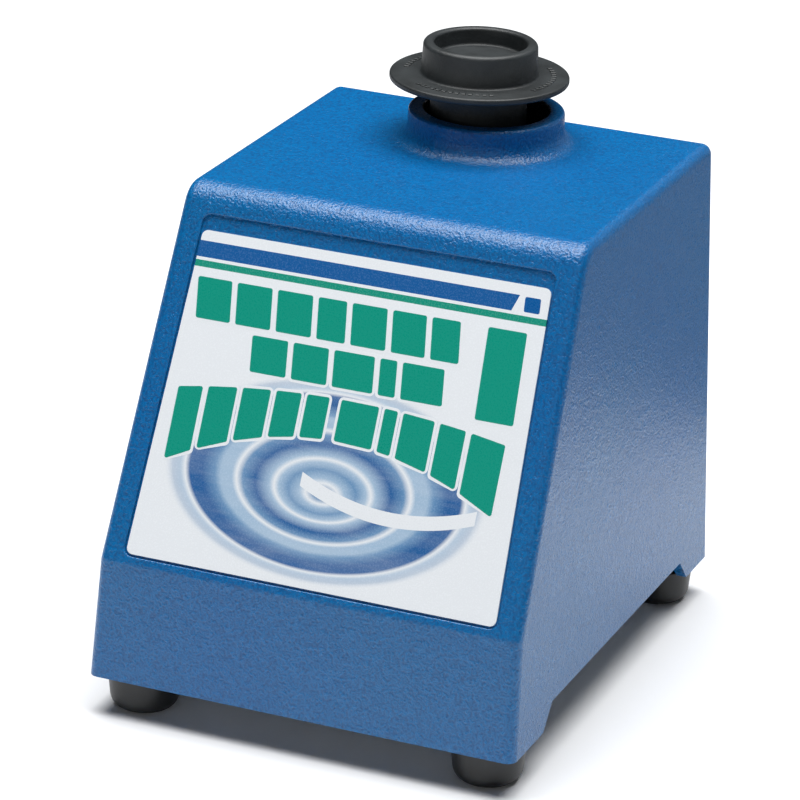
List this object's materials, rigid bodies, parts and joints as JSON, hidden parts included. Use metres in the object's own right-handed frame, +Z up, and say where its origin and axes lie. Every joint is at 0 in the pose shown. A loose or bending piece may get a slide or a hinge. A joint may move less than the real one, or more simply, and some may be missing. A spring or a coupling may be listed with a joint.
{
  "type": "vortex mixer",
  "caption": "Benchtop touch-action vortex mixer: a blue wedge-fronted housing on rubber feet, with a pull-off rubber cup that orbits on an eccentric head and starts when it is pressed down.",
  "frame": {"origin": "floor level, under the centre of the footprint", "axes": "+Z up; +Y to the rear, away from the sloped label panel; +X to the right as seen from the front"},
  "size_m": [0.1234, 0.1556, 0.1659],
  "materials": {
    "housing_paint": "fine textured blue powder coat",
    "label_film": "glossy printed film",
    "cup_rubber": "matte moulded charcoal rubber",
    "foot_rubber": "satin moulded dark rubber",
    "mount_rubber": "matte black rubber",
    "plated_steel": "zinc plated",
    "sheet_steel": "zinc-coated pressed sheet",
    "spring_steel": "bright spring steel",
    "bearing_steel": "polished",
    "turned_steel": "turned, fine tool marks",
    "laminated_steel": "varnished laminations",
    "counterweight_zinc": "die-cast zinc",
    "cast_aluminium": "as cast",
    "copper": "bare copper",
    "coil_tape": "amber coil tape",
    "bobbin_nylon": "moulded natural nylon",
    "bearing_bronze": "sintered bronze",
    "guide_acetal": "white acetal",
    "fan_plastic": "moulded black nylon",
    "inlet_plastic": "moulded black thermoplastic",
    "contact_brass": "nickel-plated brass",
    "switch_plastic": "moulded black plastic",
    "button_plastic": "moulded red plastic",
    "lead_black": "black insulation",
    "lead_earth": "green and yellow insulation"
  },
  "bodies": {
    "base": {"base_screws": "plated_steel", "bottom_plate": "sheet_steel", "coil_bobbin": "bobbin_nylon", "coil_winding": "coil_tape", "earth_lead": "lead_earth", "earth_stud": "plated_steel", "foot_front_left": "foot_rubber", "foot_front_right": "foot_rubber", "foot_rear_left": "foot_rubber", "foot_rear_right": "foot_rubber", "foot_screws": "plated_steel", "front_label": "label_film", "guide_bushes": "guide_acetal", "guide_plate": "cast_aluminium", "housing": "housing_paint", "inlet_pins": "contact_brass", "inlet_screws": "plated_steel", "isolation_grommets": "mount_rubber", "lower_bearing_bracket": "sheet_steel", "m3_screws": "plated_steel", "motor_bolts": "plated_steel", "motor_lead": "lead_black", "motor_nuts": "plated_steel", "motor_plate": "sheet_steel", "motor_plate_screws": "plated_steel", "motor_spacers": "plated_steel", "power_inlet": "inlet_plastic", "return_spring": "spring_steel", "shading_rings": "copper", "sleeve_bearings": "bearing_bronze", "stator_stack": "laminated_steel", "supply_leads": "lead_black", "switch_body": "switch_plastic", "switch_bracket": "sheet_steel", "switch_screws": "plated_steel", "terminal_tabs": "contact_brass", "thrust_guide": "guide_acetal", "upper_bearing_bracket": "sheet_steel"},
    "press_stage": {"thrust_plunger": "turned_steel", "thrust_ball": "bearing_steel"},
    "rotor": {"motor_shaft": "turned_steel", "rotor_core": "laminated_steel", "rotor_end_rings": "cast_aluminium", "thrust_washer": "turned_steel", "cooling_fan": "fan_plastic", "eccentric_hub": "turned_steel", "counterweight": "counterweight_zinc", "set_screw": "turned_steel", "bearing_inner_rings": "bearing_steel", "bearing_balls": "bearing_steel", "stud_circlip": "spring_steel"},
    "head": {"head_hub": "cast_aluminium", "guide_pins": "turned_steel", "bearing_outer_rings": "bearing_steel", "bearing_spacer": "turned_steel", "head_retaining_ring": "spring_steel"},
    "cup": {"mixing_cup": "cup_rubber"},
    "lever": {"switch_lever": "spring_steel", "switch_roller": "guide_acetal"},
    "button": {"switch_button": "button_plastic"}
  },
  "joints": [
    {"name": "press", "type": "slide", "parent": "base", "child": "press_stage", "axis": [0, 0, -1], "range_m": [0, 0.002], "stiffness_N_per_m": 1500, "springref_m": -0.0053, "deforming": ["return_spring"]},
    {"name": "motor_spin", "type": "hinge", "parent": "press_stage", "child": "rotor", "pos_m": [0, 0.0438, 0.08], "axis": [0, 0, 1], "continuous": true},
    {"name": "head_counter_spin", "type": "hinge", "parent": "rotor", "child": "head", "pos_m": [-0.00228, 0.04304, 0.14], "axis": [0, 0, 1], "continuous": true},
    {"name": "cup_pull_off", "type": "slide", "parent": "head", "child": "cup", "axis": [0, 0, 1], "range_m": [0, 0.03]},
    {"name": "lever_swing", "type": "hinge", "parent": "base", "child": "lever", "pos_m": [0, 0.0135, 0.0319], "axis": [1, 0, 0], "range_deg": [-5.8, 0]},
    {"name": "button_slide", "type": "slide", "parent": "base", "child": "button", "axis": [0, 0, -1], "range_m": [0, 0.00072]}
  ],
  "couplings": [
    {"joint": "head_counter_spin", "follows": "motor_spin", "ratio": -1},
    {"joint": "lever_swing", "follows": "press", "rad_per_m": -50},
    {"joint": "button_slide", "follows": "press", "ratio": 0.35}
  ]
}
